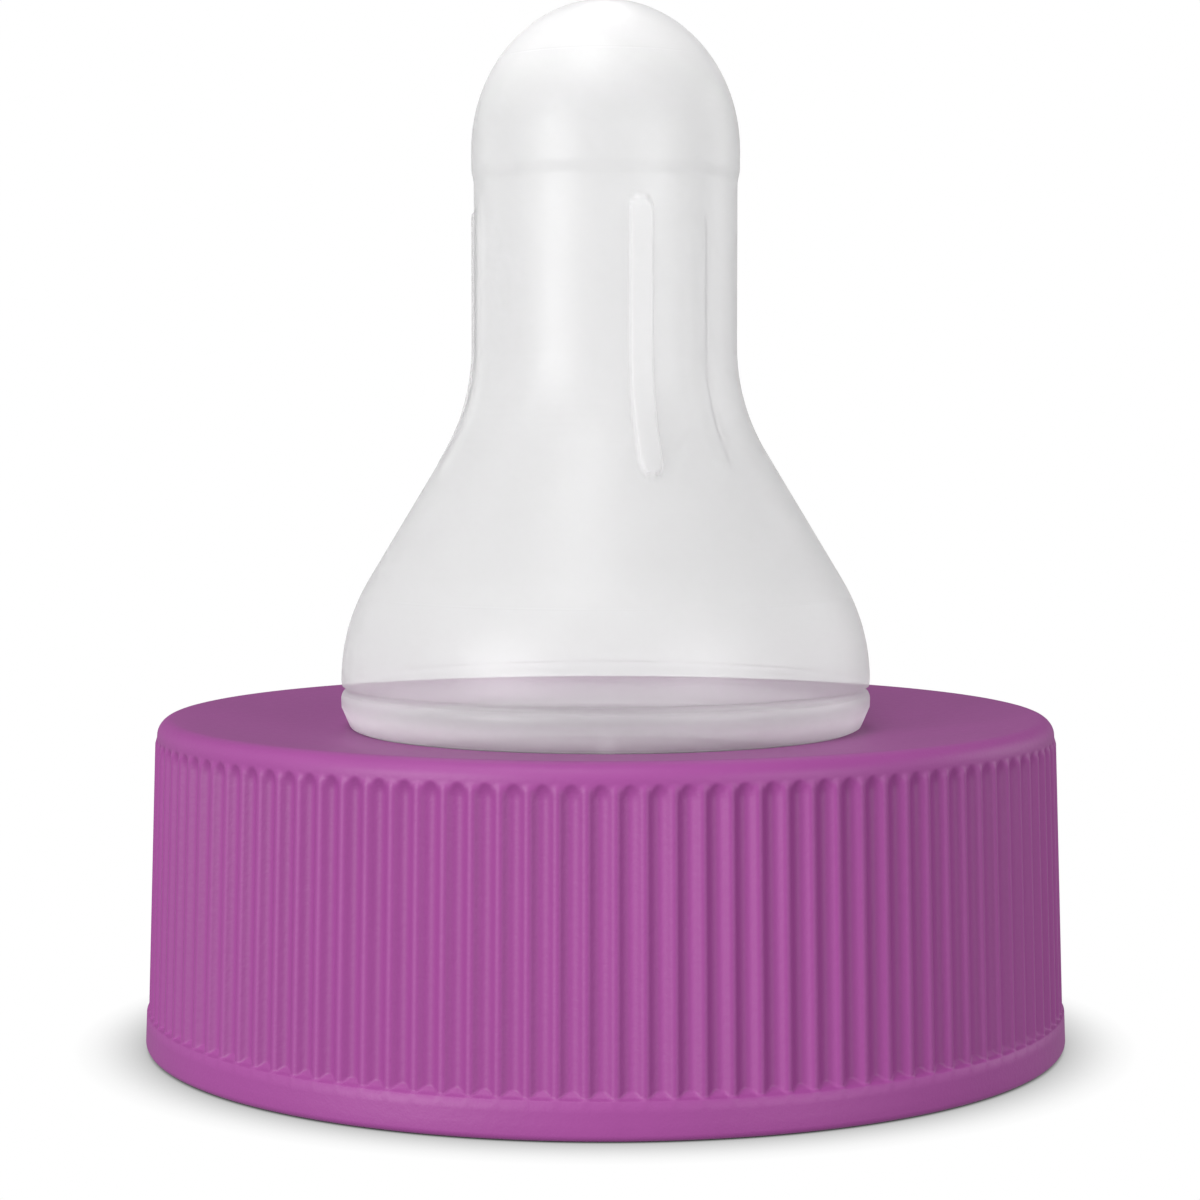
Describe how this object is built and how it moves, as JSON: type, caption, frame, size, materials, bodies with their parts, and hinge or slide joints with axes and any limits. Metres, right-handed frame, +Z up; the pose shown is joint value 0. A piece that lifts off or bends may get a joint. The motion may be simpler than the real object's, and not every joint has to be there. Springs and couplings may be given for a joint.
{
  "type": "feeding nipple with screw collar",
  "caption": "Soft translucent feeding nipple held in a low round screw collar with a ribbed grip, for a narrow-neck baby bottle.",
  "frame": {"origin": "centre of the collar's bottom rim, on the surface the object stands on", "axes": "+Z up the common axis of the collar and nipple, towards the tip; -Y is the front, +X to the right seen from the front"},
  "size_m": [0.045, 0.045, 0.0506],
  "materials": {
    "collar_plastic": "satin moulded",
    "nipple_silicone": "translucent, smooth"
  },
  "bodies": {
    "collar": {"collar": "collar_plastic"},
    "nipple": {"nipple": "nipple_silicone"}
  },
  "joints": [
    {"name": "nipple_swivel", "type": "hinge", "parent": "collar", "child": "nipple", "pos_m": [0, 0, 0.0145], "axis": [0, 0, 1], "continuous": true}
  ]
}
